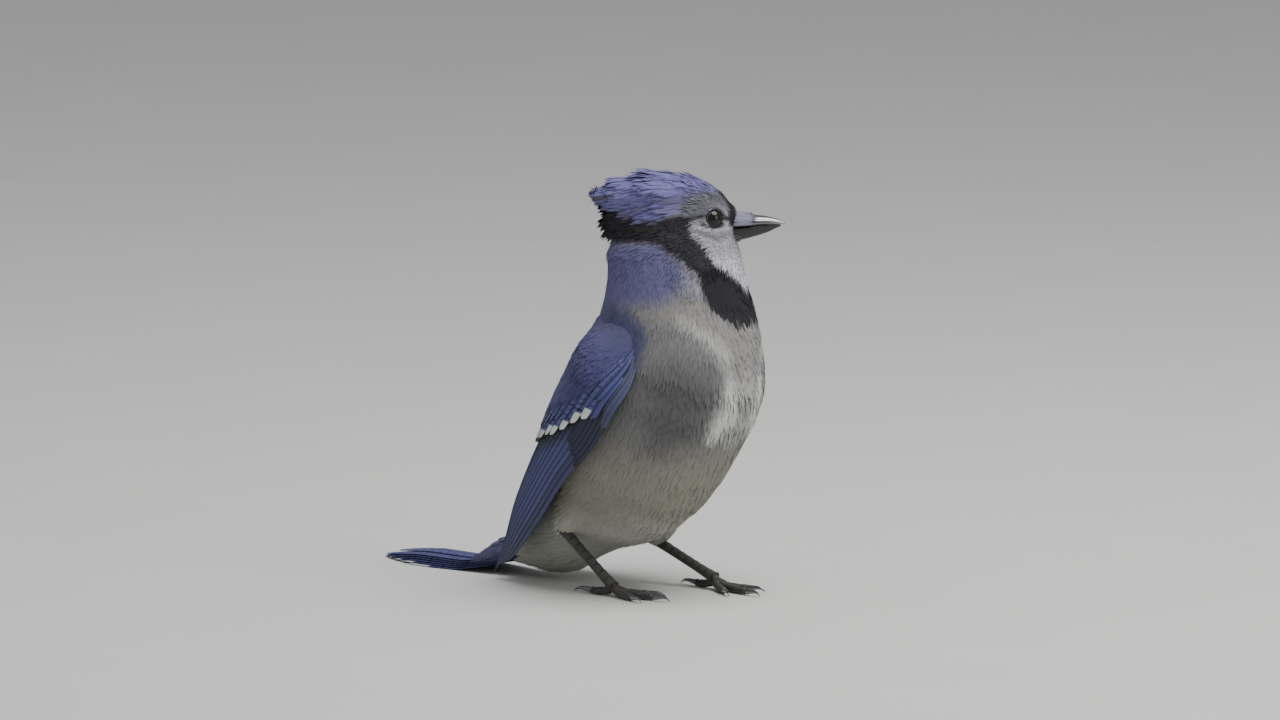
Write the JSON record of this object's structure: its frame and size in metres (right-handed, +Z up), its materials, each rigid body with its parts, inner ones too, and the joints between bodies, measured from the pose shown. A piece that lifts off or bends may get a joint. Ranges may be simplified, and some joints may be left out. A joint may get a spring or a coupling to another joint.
{
  "type": "blue jay",
  "caption": "Blue jay standing upright on a floor, head turned to its left, crest laid back, wings folded and drooped, tail laid behind it; a still, life-size model.",
  "frame": {"origin": "middle of the bounding box on the floor that the bird stands on", "axes": "+X the way the body faces, tail towards -X; +Y the bird's left; +Z up"},
  "size_m": [0.211, 0.0978, 0.1866],
  "materials": {
    "pale_feather": "soft pale grey body feathers, white down the belly",
    "grey_feather": "soft blue-grey neck feathers with a black collar",
    "blue_feather": "violet-blue crest feathers, dark between their tips",
    "wing_feather": "smooth blue flight feathers with black bars and white tips",
    "horn": "smooth black horn of the bill, slightly glossy",
    "claw": "smooth black horn of the claws",
    "leg_scale": "dark grey scaly skin of the shanks and toes",
    "eye": "glossy, wet, nearly black eye"
  },
  "bodies": {
    "root": {"torso": "pale_feather", "neck": "grey_feather", "head": "pale_feather", "crest": "blue_feather", "bill_upper": "horn", "bill_lower": "horn", "tail": "wing_feather", "eye_right": "eye", "eye_left": "eye", "wing_right": "wing_feather", "wing_left": "wing_feather", "shank_right": "leg_scale", "foot_right": "leg_scale", "claw_right_back": "claw", "claw_right_inner": "claw", "claw_right_middle": "claw", "claw_right_outer": "claw", "shank_left": "leg_scale", "foot_left": "leg_scale", "claw_left_back": "claw", "claw_left_inner": "claw", "claw_left_middle": "claw", "claw_left_outer": "claw"}
  },
  "joints": []
}
